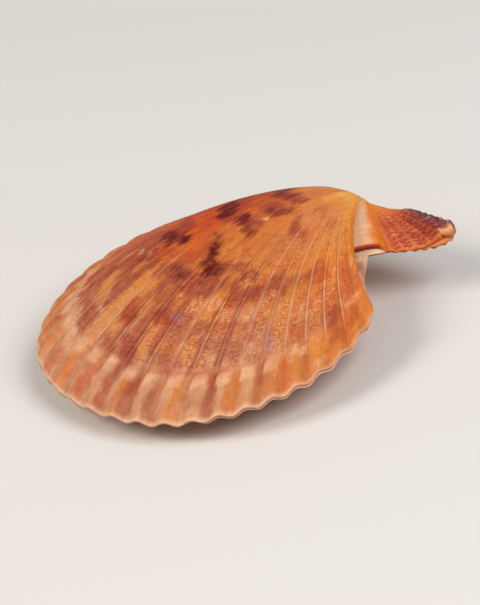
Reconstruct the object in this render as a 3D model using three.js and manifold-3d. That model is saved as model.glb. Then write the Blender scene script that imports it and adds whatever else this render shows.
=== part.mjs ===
// A closed glorious scallop shell: both valves, lying on the left valve with the right valve up.
//
// A bivalve grows by adding to its lip, so each valve here is one growth surface. The lip's
// outline lies in the plane where the valves meet, with the beak at the origin. A younger lip
// is the same outline scaled by s, from 1 at the edge down to 0 at the beak, and swung up
// about the hinge line by the angle of a logarithmic spiral. The ears, the byssal notch, the
// flanks and the ribbed disc all come from that one rule.
//
// Shell axes: X along the hinge towards the long front ear, Y from the lip to the hinge,
// Z out of the upper valve. Millimetres.
import * as THREE from "three";
import { mergeVertices } from "three/addons/utils/BufferGeometryUtils.js";
import Module from "manifold-3d";

// The disc's outline: an egg-shaped ellipse.
const DISC_HEIGHT = 75.7; // beak to the far edge of the lip
const OUTLINE_HALF_LENGTH = 35.1;
const OUTLINE_HALF_HEIGHT = 33;
const OUTLINE_SHIFT = -3.4; // the disc leans back from the beak
const OUTLINE_TILT = -0.03; // radians
const OUTLINE_EGG = 0.065; // radians of swing, which fills the shoulders
const FAN_HALF_ANGLE = 2.0; // radians of the outline that carry ribs, to each side
const FAN_TURN = 0.062;
const FAN_CROWDING = 0.074; // ribs stand closer near the ends of the fan

// Ears and notch, as points on the lip from the front end of the hinge inwards.
const FRONT_EAR_LENGTH = 25.9;
const HIND_EAR_LENGTH = 10;
const NOTCHED_EAR = [
  [FRONT_EAR_LENGTH, 0], [26.3, -1.5], [24.6, -3.4], [23.6, -6.5], [21.3, -9.2],
  [17.8, -11.1], [14.8, -11], [12.9, -12.3], [10.9, -15.2],
];
const PLAIN_EAR = [
  [24.8, 0], [25.6, -2.7], [24.7, -5.2], [22, -7.8], [17.7, -10.2], [13.9, -13.5],
];
const HIND_EAR = [[-14.8, -10.5], [-15.6, -7.4], [-13.2, -3.5], [-10.8, -0.9], [-HIND_EAR_LENGTH, 0]];
const FRONT_FLANK = {
  upper: [[13.8, -17.9], [18.6, -20.9], [23.4, -24.1]],
  lower: [[16.4, -17], [19.4, -20.6], [23.5, -23.9]],
};
const SHOULDER_END = -2.25; // outline angle where the disc's hind shoulder turns into the flank

// Growth.
const SPIRAL = { upper: 3.06, lower: 2.9 }; // the lower valve is a little deeper
const LENGTH_GROWTH = 0.92; // power by which length follows height
const BOW = -4.7; // the disc's axis bends back by this much halfway up
const BOW_FADE = [-0.95, -0.4]; // direction from the beak over which the bow dies out behind

// Sculpture.
const FIRST_GROOVE = 0.953; // place on the fan, from 1 in front to -1 behind
const RIB_SPACING = 0.0852; // from groove to groove, in the same measure
const RIB_HEIGHT = { upper: 1.3, lower: 0.8 }; // crest over groove at the lip
const RIB_SHIFT = { upper: 0, lower: 0.5 }; // one valve's ribs meet the other's grooves
const GROOVE_WIDTH = 0.16; // as a part of the rib spacing
const LIP_WAVE = 0.5; // the meeting edge rises and falls this much with the ribs
const HOODED = [6.5, 9]; // ribs over which the upper lip comes to reach past the lower one
const HOOD_FALL = 0.6; // the hooding lip falls this much below the meeting plane
const SHORT_LIP = 0.02; // the lower lip stays back by this part of its distance from the beak
const JUTTING = [-0.5, 1, 2.5, 5]; // ribs over which the lips come to jut out in front, and stop
const LONG_LIP = { upper: 0.01, lower: 0.022 }; // this part of their distance from the beak
const SMOOTH_BEAK = [0.05, 0.2]; // growth over which the ribs appear
const GROWTH_STOP = 0.855; // a pause in growth left a step here
const STEP_HEIGHT = 0.35;
const EAR_RIBLET_HEIGHT = 0.4;
const HINGE_CREST = 1.5; // the crusted hinge edge of the long ear stands up this much
const THIN_EAR = 0.6; // growth over which the ear's hinge edge reaches its thickness

// Walls.
const LIP_THICKNESS = { upper: 0.8, lower: 0.55 };
const WALL = 1.9; // from the smoothed outside to the inside
const VALVE_GAP = 0.3;
const NOTCH_GAPE = 0.8; // the lip is raised off the other valve at the notch
const BOWL = { edge: 0.93, beak: 0.2, fan: 0.9 }; // extent of the hollow in growth and fan
const BOWL_FLOOR = 2; // the cutting body passes the meeting plane by this much

// Rest: the pair lies on the ribs of its lower valve, balanced over its centre of mass.
const REST_PITCH = 0.1044; // radians, lip down
const REST_ROLL = 0.0269; // radians, front ear down

// Sampling.
const COLUMNS_PER_RIB = 4;
const ROWS = [0.04, 0.1, 0.17, 0.26, 0.36, 0.47, 0.59, 0.7, 0.8, 0.85, 0.87, 0.935, 1];
const MEETING_ROWS = [0, 6, 11, 12]; // the rows that the face between the valves uses
const RIBLET_COLUMNS = 14;
const NOTCH_COLUMNS = 5;
const FLANK_COLUMNS = 6;
const SHOULDER_COLUMNS = 4;
const HIND_EAR_COLUMNS = 8;
const BOWL_COLUMNS = 22;
const BOWL_ROWS = 8;

const { smoothstep, lerp } = THREE.MathUtils;
const wasm = await Module();
wasm.setup();

// A point of the disc's outline by its own angle: 0 at the foot, positive towards the front.
function outlinePoint(angle) {
  const along = OUTLINE_HALF_LENGTH * Math.sin(angle + OUTLINE_EGG * Math.sin(2 * angle));
  const down = -OUTLINE_HALF_HEIGHT * Math.cos(angle);
  return new THREE.Vector2(along, down)
    .rotateAround(new THREE.Vector2(), OUTLINE_TILT)
    .add(new THREE.Vector2(OUTLINE_SHIFT, OUTLINE_HALF_HEIGHT - DISC_HEIGHT));
}

// The outline's angle at a place on the fan.
function fanAngle(place) {
  return FAN_HALF_ANGLE * (place + FAN_CROWDING * (place ** 3 - place)) + FAN_TURN;
}

// Points spaced evenly along a smooth curve through a few given ones.
function curvePoints(points, count) {
  const curve = new THREE.SplineCurve(points.map(([x, y]) => new THREE.Vector2(x, y)));
  return curve.getSpacedPoints(count - 1);
}

function straightPoints(from, to, count) {
  return Array.from({ length: count }, (_, i) => from.clone().lerp(to, (i + 1) / (count + 1)));
}

// A column is one radius of the valve: its place on the lip and what it carries from there
// up to the beak.
function column(point, extra = {}) {
  const { x, y } = point;
  const plain = { bow: 0, rib: null, hood: 0, jut: 0, riblet: 0, crest: 0, raise: 0, thin: 0.1 };
  return { x, y, ...plain, ...extra };
}

function hindBow(point) {
  return smoothstep(Math.atan2(point.x, -point.y), ...BOW_FADE);
}

// The long ear: riblets that alternate column by column, then the smooth track of the notch.
function frontEar(notched) {
  const points = curvePoints(notched ? NOTCHED_EAR : PLAIN_EAR, RIBLET_COLUMNS + NOTCH_COLUMNS);
  return points.map((point, i) => {
    const fromHinge = i / (RIBLET_COLUMNS - 1);
    const onRiblets = i < RIBLET_COLUMNS;
    return column(point, {
      riblet: onRiblets && i > 0 ? (i % 2 ? 1 : -1) : 0,
      crest: Math.max(0, 1 - fromHinge * 1.6) ** 2,
      thin: lerp(THIN_EAR, 0.1, Math.min(1, fromHinge)),
      raise: notched && !onRiblets ? (i - RIBLET_COLUMNS + 1) / NOTCH_COLUMNS : 0,
    });
  });
}

// The front flank falls from the edge of the fan to the ear, with a slight waist.
function frontFlank(ear, fanEdge, which) {
  const notched = which === "upper";
  const route = [[ear.x, ear.y], ...FRONT_FLANK[which], [fanEdge.x, fanEdge.y]];
  const points = curvePoints(route, FLANK_COLUMNS + 2).slice(1, -1);
  return points.map((point, i) => {
    const part = (i + 1) / (FLANK_COLUMNS + 1);
    const raise = notched ? Math.max(0, 1 - 3 * part) : 0;
    return column(point, { bow: smoothstep(part, 0, 1), raise });
  });
}

// The fan's columns, several to a rib, with one on the line of every groove.
function fan() {
  const step = RIB_SPACING / COLUMNS_PER_RIB;
  const lead = Math.floor((1 - FIRST_GROOVE) / step);
  const count = Math.floor(2 / step);
  return Array.from({ length: count }, (_, i) => {
    const place = FIRST_GROOVE + (lead - i) * step;
    const point = outlinePoint(fanAngle(place));
    const phase = (FIRST_GROOVE - place) / RIB_SPACING;
    const hood = smoothstep(phase, ...HOODED);
    const [from, full, until, gone] = JUTTING;
    const jut = smoothstep(phase, from, full) * (1 - smoothstep(phase, until, gone));
    return column(point, { bow: hindBow(point), rib: phase, hood, jut });
  });
}

function hindShoulderAndFlank(earRoot) {
  const start = fanAngle(-1);
  const shoulder = Array.from({ length: SHOULDER_COLUMNS }, (_, i) =>
    outlinePoint(lerp(start, SHOULDER_END, (i + 1) / SHOULDER_COLUMNS)),
  );
  const flank = straightPoints(shoulder.at(-1), earRoot, FLANK_COLUMNS);
  return [...shoulder, ...flank].map((point, i) => {
    const hood = Math.max(0, 1 - (i + 1) / SHOULDER_COLUMNS);
    return column(point, { bow: hindBow(point), hood });
  });
}

// All columns of a valve, from the front end of the hinge round the lip to the hind end.
function valveColumns(which) {
  const ear = frontEar(which === "upper");
  const hindEar = curvePoints(HIND_EAR, HIND_EAR_COLUMNS);
  const columns = [
    ...ear,
    ...frontFlank(ear.at(-1), outlinePoint(fanAngle(1)), which),
    ...fan(),
    ...hindShoulderAndFlank(hindEar[0]),
    ...hindEar.map((point) => column(point, { bow: hindBow(point) })),
  ];
  for (const col of columns) {
    const shorter = which === "lower" ? SHORT_LIP * col.hood : 0;
    const reach = 1 + LONG_LIP[which] * col.jut - shorter;
    col.x *= reach;
    col.y *= reach;
  }
  return columns;
}

// Backward sweep of a column between its beak and its lip, at the part s of its length.
function sweep(col, s) {
  return col.bow * BOW * 4 * s * (1 - s);
}

// The growth rule: a column's point when the shell had grown to s.
function growthPoint(col, s, spiral) {
  const swing = -Math.log(s) / spiral;
  const x = col.x * s ** LENGTH_GROWTH + sweep(col, s);
  return new THREE.Vector3(x, col.y * s * Math.cos(swing), -col.y * s * Math.sin(swing));
}

// Height of the sculpture over the smooth valve, in millimetres.
function relief(col, s, which) {
  const growth = s * smoothstep(s, ...SMOOTH_BEAK);
  let height = (col.riblet * EAR_RIBLET_HEIGHT * growth) / 2;
  if (col.rib !== null) {
    const phase = col.rib + RIB_SHIFT[which];
    const fromGroove = Math.abs(phase - Math.round(phase));
    const crest = 1 - 2 * Math.exp(-((fromGroove / GROOVE_WIDTH) ** 2));
    const step = s > GROWTH_STOP ? STEP_HEIGHT * smoothstep(1 - s, 0, 1 - GROWTH_STOP) : 0;
    height += (crest * RIB_HEIGHT[which] * growth) / 2 - step;
  }
  return height;
}

// Fall of the hooding lip below the meeting plane.
function hoodFall(col, s) {
  return HOOD_FALL * col.hood * smoothstep(s, BOWL.edge, 1);
}

// Rise of the lip over the meeting plane: the upper valve's crests lift it and its grooves
// press it down, and the valves interlock.
function lipRise(col, s) {
  const nearLip = smoothstep(s, BOWL.edge, 1);
  const wave = col.rib === null ? 0 : -Math.cos(2 * Math.PI * col.rib);
  return nearLip * LIP_WAVE * wave - hoodFall(col, s);
}

// A grid of smooth points and of their outward normals.
function growthGrid(columns, rows, spiral) {
  const points = columns.map((col) => rows.map((s) => growthPoint(col, s, spiral)));
  const last = columns.length - 1;
  const normals = points.map((line, i) =>
    line.map((_, j) => {
      const across = points[Math.min(i + 1, last)][j].clone().sub(points[Math.max(i - 1, 0)][j]);
      const up = line[Math.min(j + 1, rows.length - 1)].clone().sub(line[Math.max(j - 1, 0)]);
      return across.cross(up).normalize();
    }),
  );
  return { points, normals };
}

// The closed surface between two grids: both sheets, and walls all round. The inner grid has
// all the outer one's columns, but only the rows named as rungs.
function bodyBetween(outer, inner, rungs) {
  const end = outer.length - 1;
  const lip = outer[0].length - 1;
  const vertices = [...outer.flat(), ...inner.flat()];
  const out = (i, j) => i * (lip + 1) + j;
  const inn = (i, k) => outer.length * (lip + 1) + i * rungs.length + k;
  const triangles = [];
  const quad = (a, b, c, d) => triangles.push([a, b, c], [a, c, d]);
  for (let i = 0; i < end; i++) {
    for (let j = 0; j < lip; j++) {
      quad(out(i, j), out(i + 1, j), out(i + 1, j + 1), out(i, j + 1));
    }
    for (let k = 0; k + 1 < rungs.length; k++) {
      quad(inn(i, k), inn(i, k + 1), inn(i + 1, k + 1), inn(i + 1, k));
    }
    quad(out(i, 0), inn(i, 0), inn(i + 1, 0), out(i + 1, 0));
    quad(out(i, lip), out(i + 1, lip), inn(i + 1, rungs.length - 1), inn(i, rungs.length - 1));
  }
  for (let k = 0; k + 1 < rungs.length; k++) {
    for (let j = rungs[k]; j < rungs[k + 1]; j++) {
      triangles.push([inn(0, k), out(0, j), out(0, j + 1)]);
      triangles.push([inn(end, k), out(end, j + 1), out(end, j)]);
    }
    triangles.push([inn(0, k), out(0, rungs[k + 1]), inn(0, k + 1)]);
    triangles.push([inn(end, k), inn(end, k + 1), out(end, rungs[k + 1])]);
  }
  return solidFrom(vertices, triangles);
}

function solidFrom(vertices, triangles) {
  const loose = new THREE.BufferGeometry().setFromPoints(vertices);
  loose.setIndex(triangles.flat());
  const merged = mergeVertices(loose, 1e-4);
  const index = merged.index.array;
  const kept = [];
  for (let i = 0; i < index.length; i += 3) {
    const [a, b, c] = index.slice(i, i + 3);
    if (a !== b && b !== c && c !== a) kept.push(a, b, c);
  }
  return new wasm.Manifold(
    new wasm.Mesh({
      numProp: 3,
      vertProperties: merged.getAttribute("position").array,
      triVerts: new Uint32Array(kept),
    }),
  );
}

// The full valve before it is hollowed: sculptured outside, and the face that meets the
// other valve.
function fullValve(which) {
  const upper = which === "upper";
  const columns = valveColumns(which);
  const { points, normals } = growthGrid(columns, ROWS, SPIRAL[which]);
  const outer = points.map((line, i) =>
    line.map((point, j) => {
      const col = columns[i];
      const s = ROWS[j];
      const wall = LIP_THICKNESS[which] * smoothstep(s, 0, col.thin);
      const crest = HINGE_CREST * col.crest * smoothstep(s, 0.25, 0.6);
      const fall = hoodFall(col, s) * (upper ? -1 : 1);
      const lift = VALVE_GAP / 2 + wall + crest + fall + NOTCH_GAPE * col.raise * s;
      return point
        .clone()
        .addScaledVector(normals[i][j], relief(col, s, which))
        .add(new THREE.Vector3(0, 0, lift));
    }),
  );
  const meeting = columns.map((col) =>
    MEETING_ROWS.map((row) => {
      const s = ROWS[row];
      const reach = (s - ROWS[0]) / (1 - ROWS[0]);
      const raise = NOTCH_GAPE * col.raise * smoothstep(s, 0.5, 1);
      const rise = lipRise(col, s) * (upper ? 1 : -1);
      const x = col.x * reach + sweep(col, reach);
      return new THREE.Vector3(x, col.y * reach, VALVE_GAP / 2 + raise + rise);
    }),
  );
  return bodyBetween(outer, meeting, MEETING_ROWS);
}

// The hollow under the disc, carried down past the meeting plane to cut it open.
function bowl(which) {
  const rows = Array.from({ length: BOWL_ROWS }, (_, j) =>
    lerp(BOWL.beak, BOWL.edge, j / (BOWL_ROWS - 1)),
  );
  const columns = Array.from({ length: BOWL_COLUMNS }, (_, i) => {
    const point = outlinePoint(fanAngle(lerp(BOWL.fan, -BOWL.fan, i / (BOWL_COLUMNS - 1))));
    return column(point, { bow: hindBow(point) });
  });
  const { points, normals } = growthGrid(columns, rows, SPIRAL[which]);
  const wall = new THREE.Vector3(0, 0, LIP_THICKNESS[which]);
  const roof = points.map((line, i) =>
    line.map((point, j) => point.clone().addScaledVector(normals[i][j], -WALL).add(wall)),
  );
  const ends = [0, BOWL_ROWS - 1];
  const floor = roof.map((line) =>
    ends.map((j) => new THREE.Vector3(line[j].x, line[j].y, -BOWL_FLOOR)),
  );
  return bodyBetween(roof, floor, ends);
}

// One valve as a closed solid. The lower one is made the same way up and then turned over
// by mirroring its height, which also turns its faces round.
function valveGeometry(which) {
  const solid = fullValve(which).subtract(bowl(which));
  const { vertProperties, triVerts } = solid.getMesh();
  const geometry = new THREE.BufferGeometry();
  geometry.setAttribute("position", new THREE.BufferAttribute(vertProperties, 3));
  geometry.setIndex(new THREE.BufferAttribute(triVerts, 1));
  if (which === "lower") {
    geometry.scale(1, 1, -1);
    for (let i = 0; i < triVerts.length; i += 3) {
      [triVerts[i + 1], triVerts[i + 2]] = [triVerts[i + 2], triVerts[i + 1]];
    }
  }
  geometry.computeVertexNormals();
  return geometry;
}

function valve(name, which, colour) {
  const material = new THREE.MeshStandardMaterial({ color: colour, roughness: 0.55, metalness: 0 });
  const mesh = new THREE.Mesh(valveGeometry(which), material);
  mesh.name = name;
  return mesh;
}

const shell = new THREE.Group();
shell.add(valve("right_valve", "upper", 0xc96a35));
shell.add(valve("left_valve", "lower", 0xb9683f));
shell.rotation.set(REST_PITCH, REST_ROLL, 0);

// The origin is under the middle of the shell, on the surface that it lies on.
const box = new THREE.Box3().setFromObject(shell, true);
const middle = box.getCenter(new THREE.Vector3());
shell.position.set(-middle.x, -middle.y, -box.min.z);

const group = new THREE.Group();
group.add(shell);

export default group;
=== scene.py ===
"""A closed glorious scallop shell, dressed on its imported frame.

Each valve is one growth surface. Its lip is an outline in the plane where the valves meet, with
the beak at the origin, X along the hinge towards the long front ear, Y from the lip to the hinge
and Z out of the upper valve. A younger lip is the same outline scaled by s and swung up about
the hinge by the angle of a logarithmic spiral. Lengths in these formulas are millimetres.
"""

import math
from types import SimpleNamespace

import bpy
import numpy as np
from bpy.props import FloatProperty, FloatVectorProperty, PointerProperty
from mathutils import Matrix, Vector


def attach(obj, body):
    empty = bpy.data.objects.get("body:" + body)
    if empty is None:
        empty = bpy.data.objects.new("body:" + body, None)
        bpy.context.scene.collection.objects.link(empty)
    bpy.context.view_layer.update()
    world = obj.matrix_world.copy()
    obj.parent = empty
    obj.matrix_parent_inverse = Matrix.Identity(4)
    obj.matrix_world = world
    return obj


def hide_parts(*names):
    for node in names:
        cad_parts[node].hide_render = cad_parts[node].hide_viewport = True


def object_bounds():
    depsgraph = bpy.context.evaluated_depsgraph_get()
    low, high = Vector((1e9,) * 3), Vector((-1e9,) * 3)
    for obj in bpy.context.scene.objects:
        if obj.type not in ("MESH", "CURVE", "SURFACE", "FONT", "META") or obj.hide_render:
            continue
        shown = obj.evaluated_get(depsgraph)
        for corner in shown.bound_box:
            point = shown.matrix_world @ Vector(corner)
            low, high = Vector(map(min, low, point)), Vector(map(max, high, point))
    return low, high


bl_info = {
    "name": "Scallop shell",
    "version": (1, 0, 0),
    "blender": (4, 5, 0),
    "location": "3D View > Sidebar > Scallop",
    "description": "Grows the two valves of a scallop shell and sets a plain studio round them",
    "category": "Add Mesh",
}

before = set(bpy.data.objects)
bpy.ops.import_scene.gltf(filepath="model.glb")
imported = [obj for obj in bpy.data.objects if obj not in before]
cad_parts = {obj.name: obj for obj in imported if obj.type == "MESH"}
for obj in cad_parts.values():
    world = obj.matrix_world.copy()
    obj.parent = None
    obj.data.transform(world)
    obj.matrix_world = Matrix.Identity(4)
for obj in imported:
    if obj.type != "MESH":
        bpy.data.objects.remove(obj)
CAD_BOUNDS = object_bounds()
MM = 0.001

# The disc's outline: an egg-shaped ellipse, with the ribs spread like a fan along it.
DISC_HEIGHT = 75.7
HALF_LENGTH, HALF_HEIGHT = 35.1, 33.0
OUTLINE_SHIFT, OUTLINE_TILT, OUTLINE_EGG = -3.4, -0.03, 0.065
FAN_HALF_ANGLE, FAN_TURN, FAN_CROWDING = 2.0, 0.062, 0.074
SHOULDER_END = -2.25
FIRST_GROOVE, RIB_SPACING = 0.953, 0.0852
FIRST_PHASE, LAST_PHASE = (FIRST_GROOVE - 1) / RIB_SPACING, (FIRST_GROOVE + 1) / RIB_SPACING

# Ears, notch and front flank, as points on the lip.
NOTCHED_EAR = [
    (25.9, 0), (26.3, -1.5), (24.6, -3.4), (23.6, -6.5), (21.3, -9.2),
    (17.8, -11.1), (14.8, -11), (12.9, -12.3), (10.9, -15.2),
]
PLAIN_EAR = [(24.8, 0), (25.6, -2.7), (24.7, -5.2), (22, -7.8), (17.7, -10.2), (13.9, -13.5)]
HIND_EAR = [(-14.8, -10.5), (-15.6, -7.4), (-13.2, -3.5), (-10.8, -0.9), (-10, 0)]
FRONT_FLANK = {
    "upper": [(13.8, -17.9), (18.6, -20.9), (23.4, -24.1)],
    "lower": [(16.4, -17), (19.4, -20.6), (23.5, -23.9)],
}

# Growth and walls.
SPIRAL = {"upper": 3.06, "lower": 2.9}
LENGTH_GROWTH = 0.92
BOW, BOW_FADE = -4.7, (-0.95, -0.4)
LIP_THICKNESS = {"upper": 0.8, "lower": 0.55}
LIP_BEVEL = 0.75  # part of the lip's thickness that its outer edge is rounded off by
WALL = 1.9
HALF_GAP = 0.15
NOTCH_GAPE = 0.8
NOTCH, NOTCH_REACH = (15, -16), (7, 10)  # the notch's place on the lip, and how far its colours go
LIP_WAVE = 0.5
LIP_ZONE, BEVEL_ZONE = (0.93, 1), (0.965, 1)  # growths over which the waves and bevel come in
HOODED = (6.5, 9)  # ribs over which the upper lip comes to reach past the lower one
HOOD_FALL, SHORT_LIP = 0.6, 0.02
JUTTING = (-0.5, 1, 2.5, 5)  # ribs in front where both lips start to jut out, do so, draw back, end
LONG_LIP = {"upper": 0.016, "lower": 0.02}
HINGE_CREST = 1.5
THIN_EAR = 0.6
NICK_AT, NICK_WIDTH, NICK_DEPTH = 2.3, 0.3, 0.035  # a small break in the tip of the long ear
RIB_SHIFT = {"upper": 0.0, "lower": 0.5}
GROOVE_WIDTH = 0.14  # in ribs, from the middle of a groove to its shoulder
EARLY_RIBS, HIND_RIBS = 0.28, 0.55  # parts of the full rib height: before the stop, and behind
THREAD_WIDTH = 0.021  # half width of a groove's thread, in ribs at full growth
RIBLET_HEIGHT, INNER_RIB_HEIGHT = 0.2, 0.3
STOP = 0.855  # growth at the pause that left a ledge

# Rest on the floor: the shell is pitched and rolled a little, and its beak stands here.
REST_PITCH, REST_ROLL = 0.1044, 0.0269
BEAK = (3.1171, 37.6466, 13.1758)

# Sampling: where the columns stand on one rib, and how many the other regions have.
RIB_COLUMNS = np.array([0, 0.035, 0.07, 0.12, 0.18, 0.26, 0.36, 0.5, 0.64, 0.74, 0.82, 0.88, 0.93, 0.965])
EAR_COLUMNS, FLANK_COLUMNS, SHOULDER_COLUMNS, HIND_COLUMNS = 76, 14, 8, 16
EAR_LENGTH = 26
RIBLETS = 13  # riblet crests and grooves on the long ear, counted from the hinge
EAR_SPAN = 18  # the same count carried on to the end of the notch
OUTER_ROWS, INNER_ROWS = 160, 40
FIRST_GROWTH, BEAK_END, LAST_GROWTH, BEAK_ROWS = 0.02, 0.15, 0.997, 15
INNER_START, LIP_START, LIP_ROWS = 0.04, 0.9, 10


def linear(code):
    """The linear colour of an sRGB hex code."""
    values = np.array([int(code[i : i + 2], 16) for i in (0, 2, 4)]) / 255
    return tuple(np.where(values <= 0.04045, values / 12.92, ((values + 0.055) / 1.055) ** 2.4))


# ---- shape

def smooth(low, high, x):
    """0 below low, 1 above high and a smooth S between them."""
    t = np.clip((x - low) / (high - low), 0, 1)
    return t * t * (3 - 2 * t)


def span(x, start, full, fade, end):
    """0 below start, 1 from full to fade and 0 above end, with smooth flanks."""
    return smooth(start, full, x) * (1 - smooth(fade, end, x))


def bell(x, width):
    """A bell curve that is 1 at 0 and about a third at the width on both sides."""
    return np.exp(-((x / width) ** 2))


def from_groove(phase):
    """How far a rib phase is from the middle of the nearest groove, in ribs."""
    return np.abs(phase - np.round(phase))


def lattice_noise(a, b, seed):
    """Noise from -1 to 1: random values where a and b are whole, smoothly joined between."""
    table = np.random.default_rng(seed).uniform(-1, 1, (64, 64))
    i, j = np.floor(a).astype(int), np.floor(b).astype(int)
    u, v = smooth(0, 1, a - i), smooth(0, 1, b - j)
    near = table[i % 64, j % 64] * (1 - u) + table[(i + 1) % 64, j % 64] * u
    far = table[i % 64, (j + 1) % 64] * (1 - u) + table[(i + 1) % 64, (j + 1) % 64] * u
    return near * (1 - v) + far * v


def noise_over(across, s):
    """Noise over a valve, as a function of the cells for each rib or riblet, the cells from the
    beak to the lip, and the seed."""
    return lambda for_each, to_lip, seed: lattice_noise(across * for_each, s * to_lip, seed)


def outline(angle):
    """The disc's lip by its own angle: an ellipse whose angle swings by its double's sine, tilted
    and shifted so that its far edge is the disc's height from the beak."""
    along = HALF_LENGTH * np.sin(angle + OUTLINE_EGG * np.sin(2 * angle))
    down = -HALF_HEIGHT * np.cos(angle)
    c, s = math.cos(OUTLINE_TILT), math.sin(OUTLINE_TILT)
    x = along * c - down * s + OUTLINE_SHIFT
    y = along * s + down * c + HALF_HEIGHT - DISC_HEIGHT
    return np.stack([x, y], -1)


def fan_angle(place):
    """The outline's angle at a place on the fan, from 1 in front to -1 behind."""
    return FAN_HALF_ANGLE * (place + FAN_CROWDING * (place**3 - place)) + FAN_TURN


def curve_points(points, count):
    """Points evenly spaced along the Catmull-Rom curve through the given ones: each span is the
    cubic whose end slopes are half the step between the neighbours on both sides."""
    p = np.array(points, float)
    spans = len(p) - 1
    t = np.linspace(0, spans, 100 * spans + 1)
    i = np.minimum(t.astype(int), spans - 1)
    u = (t - i)[:, None]
    a, b = p[i], p[i + 1]
    slope_a = (b - p[np.maximum(i - 1, 0)]) / 2
    slope_b = (p[np.minimum(i + 2, spans)] - a) / 2
    curve = (2 * a - 2 * b + slope_a + slope_b) * u**3
    curve += (3 * b - 3 * a - 2 * slope_a - slope_b) * u**2 + slope_a * u + a
    run = np.concatenate([[0], np.cumsum(np.linalg.norm(np.diff(curve, axis=0), axis=1))])
    even = np.linspace(0, run[-1], count)
    return np.stack([np.interp(even, run, curve[:, k]) for k in (0, 1)], -1)


def valve_columns(which):
    """Every radius of a valve from the front end of the hinge round the lip to the hind end, as
    columns beside the rows of growth: lip point, bow, rib phase of the fan and of the valve's own
    ribs (whole in a groove), how far ribs show, ear count, crest of the hinge edge, raise at the
    notch, and how soon the wall thickens."""
    notched = which == "upper"
    ear = curve_points(NOTCHED_EAR if notched else PLAIN_EAR, EAR_COLUMNS)
    phases = (np.arange(-1, math.ceil(LAST_PHASE))[:, None] + RIB_COLUMNS).ravel()
    phases = phases[(phases > FIRST_PHASE) & (phases < LAST_PHASE)]
    fan = outline(fan_angle(FIRST_GROOVE - phases * RIB_SPACING))
    front = curve_points([ear[-1], *FRONT_FLANK[which], outline(fan_angle(1.0))], FLANK_COLUMNS + 2)[1:-1]
    steps = np.arange(1, SHOULDER_COLUMNS + 1) / SHOULDER_COLUMNS
    shoulder = outline(fan_angle(-1.0) * (1 - steps) + SHOULDER_END * steps)
    hind_ear = curve_points(HIND_EAR, HIND_COLUMNS)
    steps = (np.arange(1, FLANK_COLUMNS + 1) / (FLANK_COLUMNS + 1))[:, None]
    flank = shoulder[-1] * (1 - steps) + hind_ear[0] * steps

    point = np.concatenate([ear, front, fan, shoulder, flank, hind_ear])
    at_fan = len(ear) + len(front)
    after_fan = at_fan + len(fan)
    place = np.arange(len(point))
    part = np.clip((place - len(ear) + 1) / (FLANK_COLUMNS + 1), 0, 1)
    bow = smooth(*BOW_FADE, np.arctan2(point[:, 0], -point[:, 1]))
    bow = np.where(place < at_fan, smooth(0, 1, part), bow)
    phase = np.full(len(point), FIRST_PHASE)
    phase[at_fan:after_fan] = phases
    phase[after_fan:] = LAST_PHASE
    ribbed = smooth(0.8, 1, part) * (1 - smooth(after_fan, after_fan + SHOULDER_COLUMNS, place))
    count = np.clip(place / (EAR_COLUMNS - 1), 0, 1) * EAR_SPAN
    from_hinge = count / RIBLETS
    riblet = span(count, 0, 1, RIBLETS - 0.5, RIBLETS + 1)
    crest = np.where(place < len(ear), np.maximum(0, 1 - 1.6 * from_hinge) ** 2, 0)
    thin = 0.1 + (THIN_EAR - 0.1) * (1 - np.minimum(1, from_hinge))
    raised = np.clip((count - RIBLETS) / (EAR_SPAN - RIBLETS), 0, 1) * np.clip(1 - 3 * part, 0, 1)
    hood = smooth(*HOODED, phase) * np.clip(1 - (place - after_fan) / SHOULDER_COLUMNS, 0, 1)
    reach = 1 + LONG_LIP[which] * span(phase, *JUTTING)
    if notched:
        reach -= NICK_DEPTH * bell(count - NICK_AT, NICK_WIDTH)
    else:
        reach -= SHORT_LIP * hood
    point = point * reach[:, None]
    columns = {
        "x": point[:, 0], "y": point[:, 1], "bow": bow, "phase": phase, "rib": phase + RIB_SHIFT[which],
        "ribbed": ribbed, "hood": hood, "count": count, "riblet": riblet, "crest": crest,
        "raised": raised * notched, "thin": thin, "place": place,
        "fan": np.clip(1 - np.abs(FIRST_GROOVE - phase * RIB_SPACING), 0, 1),
    }
    return SimpleNamespace(**{name: values[:, None] for name, values in columns.items()})


def sweep(col, s):
    """Backward sweep of each radius between its beak and its lip: a parabola."""
    return col.bow * BOW * 4 * s * (1 - s)


def grow(col, s, spiral):
    """The growth rule: length times s to a power plus the sweep, and the height times s swung up
    by minus the logarithm of s over the spiral's rate."""
    swing = -np.log(s) / spiral
    x = col.x * s**LENGTH_GROWTH + sweep(col, s)
    return np.stack([x, col.y * s * np.cos(swing), -col.y * s * np.sin(swing)], -1)


def normals(points):
    """Unit normals of a grid, from the cross product of its two directions."""
    n = np.cross(np.gradient(points, axis=0), np.gradient(points, axis=1))
    return n / np.maximum(np.linalg.norm(n, axis=-1, keepdims=True), 1e-12)


def rib_profile(phase, s):
    """Rib height from -1 in the groove to 1 on the crest: flat crests with narrow grooves, which
    are lower in front and behind and turn into round waves after the growth stop."""
    flat = 1 - 2 * bell(from_groove(phase), GROOVE_WIDTH)
    wave = -np.cos(2 * np.pi * phase)
    late = smooth(STOP, STOP + 0.04, s)
    early = EARLY_RIBS + 0.1 * smooth(8, 11, phase)
    towards_lip = early + (1 - early) * smooth(0.86, 1.01, s)
    behind = 1 - (1 - HIND_RIBS) * smooth(14.5, 17.5, phase)
    return (flat * (1 - late) + wave * late) * towards_lip * behind


def ear_scales(col, s, sizes):
    """Where a point lies on the long ear's scales: from 0 at a scale's root to 1 at its edge, with
    every second riblet set half a scale on and the rows bent a little by noise."""
    shift = 0.5 * (np.floor(col.count / 2) % 2) + 0.5 * lattice_noise(col.count * 0.8, s * 12, 15)
    return (s * EAR_LENGTH * MM / sizes.scale_length + shift) % 1


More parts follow.
